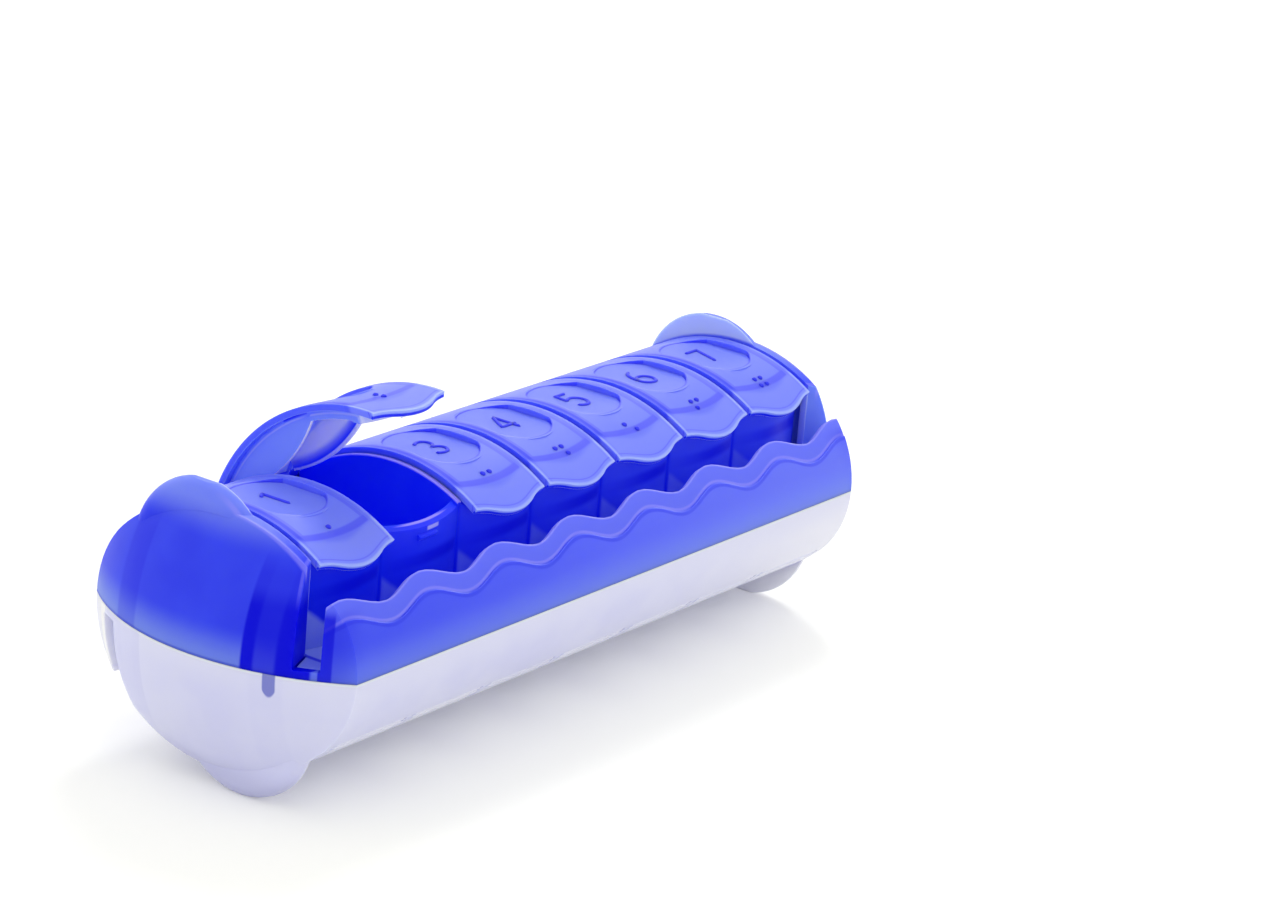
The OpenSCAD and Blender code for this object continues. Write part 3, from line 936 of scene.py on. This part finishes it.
@dataclass
class LidRow:
    """One half's row of lids with the raised marks on them, sizes in millimetres."""

    half: Half
    finish: Plastic
    mark: Plastic
    open_lids: dict[int, float] = field(default_factory=dict)
    count: int = 7
    pitch: float = 21.4
    crown_height: float = 23.6
    crown_drop: float = 10.39024
    hinge_y: float = 23.30854
    hinge_z: float = 13.58812
    window_depth: float = 1.15
    numeral_scale: float = 0.82
    dot_radius: float = 0.55
    dot_flatness: float = 0.8
    dot_step: float = 1.85
    dot_angle: float = 22.0
    dot_rings: int = 9
    dot_sides: int = 16

    @property
    def slot(self) -> str:
        """Record slot of this half's lids."""
        return "blue_lid" if self.half is Half.UPPER else "white_lid"

    def place(self, number: int) -> Matrix:
        """Where a lid lies: turned about its hinge, moved along the row and put on its half.

        Args:
            number: Number of the lid.

        Returns:
            Takes millimetres of the closed middle lid to metres of the object.
        """
        lean = np.radians(self.open_lids.get(number, 0.0))
        hinge = Vector((0.0, self.hinge_y, self.hinge_z))
        turn = Matrix.Rotation(-lean, 4, "X")
        swing = Matrix.Translation(hinge) @ turn @ Matrix.Translation(-hinge)
        shift = Matrix.Translation(((number - (self.count + 1) / 2) * self.pitch, 0.0, 0.0))
        return half_place(self.half) @ shift @ swing

    def build_mark(
        self, kind: str, number: int, points: np.ndarray, quads: np.ndarray
    ) -> bpy.types.Object:
        """Makes one mark that rides on its lid.

        Args:
            kind: Kind of mark, the middle of the piece's name.
            number: Number of the lid.
            points: Points in millimetres of the closed lid.
            quads: Faces as rows of four point numbers.

        Returns:
            The new object.
        """
        m = np.array(self.place(number))
        placed = points @ m[:3, :3].T + m[:3, 3]
        half = self.half.value
        name, body = f"{half}_{kind}_{number}", f"{half}_lid_{number}"
        return mesh_piece(name, placed, quads, body)

    def build_numeral(self, number: int) -> bpy.types.Object:
        """Makes the raised numeral on the window floor.

        Args:
            number: Number of the lid.

        Returns:
            The new object.
        """
        floor = self.crown_height - self.window_depth
        rings = Stroke().surface(numeral(number) * self.numeral_scale, floor)
        quads = grid_quads(*rings.shape[:2])
        return self.build_mark("numeral", number, rings.reshape(-1, 3), quads)

    def ball(self) -> np.ndarray:
        """Flattened ball: sine of the polar angle outwards, its cosine times the flatness upwards.

        Returns:
            Points as rows of x, y, z in millimetres.
        """
        polar, turn = np.meshgrid(
            np.linspace(0.0, np.pi, self.dot_rings),
            np.linspace(0.0, 2.0 * np.pi, self.dot_sides, endpoint=False),
            indexing="ij",
        )
        out, up = np.sin(polar), self.dot_flatness * np.cos(polar)
        ball = np.stack([out * np.cos(turn), out * np.sin(turn), up], -1)
        return ball.reshape(-1, 3) * self.dot_radius

    def build_dots(self, number: int) -> bpy.types.Object:
        """Makes the raised dots near the tab: balls on the crown, their poles along its radius.

        Args:
            number: Number of the lid.

        Returns:
            The new object.
        """
        radius = self.crown_height + self.crown_drop
        ball = self.ball()
        points, quads = [], []
        for index, dot in enumerate(DOTS[number]):
            column, row = divmod(dot - 1, DOT_ROWS)
            angle = np.radians(self.dot_angle) + row * self.dot_step / radius
            out = np.array([0.0, -np.sin(angle), np.cos(angle)])
            down = np.array([0.0, -np.cos(angle), -np.sin(angle)])
            shift = np.array([(column - 0.5) * self.dot_step, 0.0, -self.crown_drop])
            axes = np.stack([np.array([1.0, 0.0, 0.0]), -down, out])
            points.append(radius * out + shift + ball @ axes)
            quads.append(grid_quads(self.dot_rings, self.dot_sides, index * len(ball)))
        return self.build_mark("dots", number, np.concatenate(points), np.concatenate(quads))

    def build(self) -> None:
        """Dresses the lids and adds their numerals and dots."""
        closed = half_place(self.half).inverted()
        lid_skin, mark_skin = self.finish.make(closed), self.mark.make(closed)
        for number in range(1, self.count + 1):
            skin = lid_skin
            if number in self.open_lids:
                skin = self.finish.make(self.place(number).inverted(), "_open")
            dress(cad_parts[f"{self.half.value}_lid_{number}"], skin)
            for piece in (self.build_numeral(number), self.build_dots(number)):
                dress(piece, mark_skin)
                log.info("piece %s", piece.name)


@dataclass
class Case:
    """The half shells and trays, each with its half and finish."""

    finishes: dict[str, tuple[Half, Plastic]]

    def build(self) -> None:
        """Dresses each solid of the case."""
        for node, (half, finish) in self.finishes.items():
            skin = finish.make(half_place(half).inverted(), f"_{half.value}")
            dress(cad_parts[node], skin)
            log.info("dressed %s", node)


@dataclass
class Studio:
    """Camera, floor and light.

    The camera's back holds azimuth, elevation and roll in degrees and its offset millimetres; the
    floor and the lamp are in metres.
    """

    back: Triple = (-55.548, 18.431, 5.156)
    offset: Triple = (26.536, 15.761, 806.098)
    focal_pixels: float = 4350.669
    image_width: float = 1275.0
    sensor_width: float = 36.0
    clip: Pair = (0.01, 20.0)
    white: Color = (1.0, 1.0, 1.0, 1.0)
    world_level: float = 0.97
    floor_half: float = 3.0
    floor_tone: Color = (0.86, 0.86, 0.86, 1.0)
    floor_seen: Color = (0.86, 0.86, 0.8, 1.0)
    floor_lift: float = 0.2
    lamp_spot: Triple = (0.66, 0.36, 0.95)
    lamp_size: float = 0.3
    lamp_watts: float = 3.4
    bounces: int = 10

    def camera(self) -> None:
        """Camera at the photograph's place."""
        azimuth, elevation, roll = np.radians(self.back)
        right = np.array([np.cos(azimuth), np.sin(azimuth), 0.0])
        level = np.array([np.sin(azimuth), -np.cos(azimuth), 0.0])
        back = level * np.cos(elevation) + np.array([0.0, 0.0, np.sin(elevation)])
        up = np.cross(back, right)
        rolled_right = np.cos(roll) * right + np.sin(roll) * up
        rolled_up = np.cos(roll) * up - np.sin(roll) * right
        axes = np.stack([rolled_right, rolled_up, back])
        spot = (axes.T @ np.array(self.offset) + np.array([0.0, 0.0, PARTING])) * MM
        data = bpy.data.cameras.new("photo_camera")
        data.sensor_width = self.sensor_width
        data.lens = self.focal_pixels * data.sensor_width / self.image_width
        data.clip_start, data.clip_end = self.clip
        made = bpy.data.objects.new("photo_camera", data)
        turn = Matrix(axes.T.tolist()).to_4x4()
        made.matrix_world = Matrix.Translation(spot.tolist()) @ turn
        bpy.context.scene.collection.objects.link(made)
        bpy.context.scene.camera = made

    def seen(self, graph: Graph) -> Wire:
        """Tells which rays see the studio as it is shown.

        Args:
            graph: Node tree that needs the value.

        Returns:
            1 for rays from the camera, a reflection or through clear plastic, else 0.
        """
        camera, glossy, clear = (
            graph.node("ShaderNodeLightPath", {}, {}, f"Is {kind} Ray")
            for kind in ("Camera", "Glossy", "Transmission")
        )
        return camera.at_least(glossy).at_least(clear)

    def world(self) -> None:
        """White world that lights softly and shows as plain white."""
        world = bpy.data.worlds.new("studio")
        bpy.context.scene.world = world
        world.use_nodes = True
        graph = Graph(world.node_tree)
        level = self.world_level + self.seen(graph) * (1.0 - self.world_level)
        inputs = {"Color": self.white, "Strength": level}
        shader = graph.node("ShaderNodeBackground", {}, inputs)
        graph.node("ShaderNodeOutputWorld", {}, {"Surface": shader})

    def floor(self) -> None:
        """White floor that keeps the shadow; the lift brings its lit part up to white."""
        far = self.floor_half
        points = [(-far, -far, 0.0), (far, -far, 0.0), (far, far, 0.0), (-far, far, 0.0)]
        data = bpy.data.meshes.new("floor")
        data.from_pydata(points, [], [(0, 1, 2, 3)])
        made = bpy.data.objects.new("floor", data)
        bpy.context.scene.collection.objects.link(made)
        material = bpy.data.materials.new("floor")
        material.use_nodes = True
        graph = Graph(material.node_tree)
        seen = self.seen(graph)
        tone = graph.blend(seen, self.floor_tone, self.floor_seen)
        matte = graph.node("ShaderNodeBsdfDiffuse", {}, {"Color": tone})
        inputs = {"Color": self.white, "Strength": seen * self.floor_lift}
        shine = graph.node("ShaderNodeEmission", {}, inputs)
        both = graph.node("ShaderNodeAddShader", {}, {0: matte, 1: shine})
        graph.node("ShaderNodeOutputMaterial", {}, {"Surface": both})
        made.data.materials.append(material)

    def lamp(self) -> None:
        """Square soft light that looks at the middle of the case."""
        data = bpy.data.lights.new("overhead", "AREA")
        data.size = self.lamp_size
        data.energy = self.lamp_watts
        made = bpy.data.objects.new("overhead", data)
        aim = Vector((0.0, 0.0, PARTING * MM)) - Vector(self.lamp_spot)
        turn = aim.to_track_quat("-Z", "Y").to_matrix().to_4x4()
        made.matrix_world = Matrix.Translation(self.lamp_spot) @ turn
        bpy.context.scene.collection.objects.link(made)

    def build(self) -> None:
        """Sets up the whole studio."""
        self.camera()
        self.world()
        self.floor()
        self.lamp()
        bpy.context.scene.view_settings.view_transform = "Standard"
        bpy.context.scene.cycles.diffuse_bounces = self.bounces


def main() -> None:
    """Builds the pieces in order."""
    logging.basicConfig(level=logging.INFO, format="%(name)s: %(message)s")
    Studio().build()
    Case(
        {
            "upper_shell": (Half.UPPER, BLUE_SHELL),
            "lower_shell": (Half.LOWER, WHITE_SHELL),
            "upper_tray": (Half.UPPER, BLUE_TRAY),
            "lower_tray": (Half.LOWER, BLUE_TRAY),
        }
    ).build()
    LidRow(Half.UPPER, BLUE_LID, BLUE_MARK, {2: 30.0}).build()
    LidRow(Half.LOWER, WHITE_LID, WHITE_MARK).build()


if __name__ == "__main__":
    main()
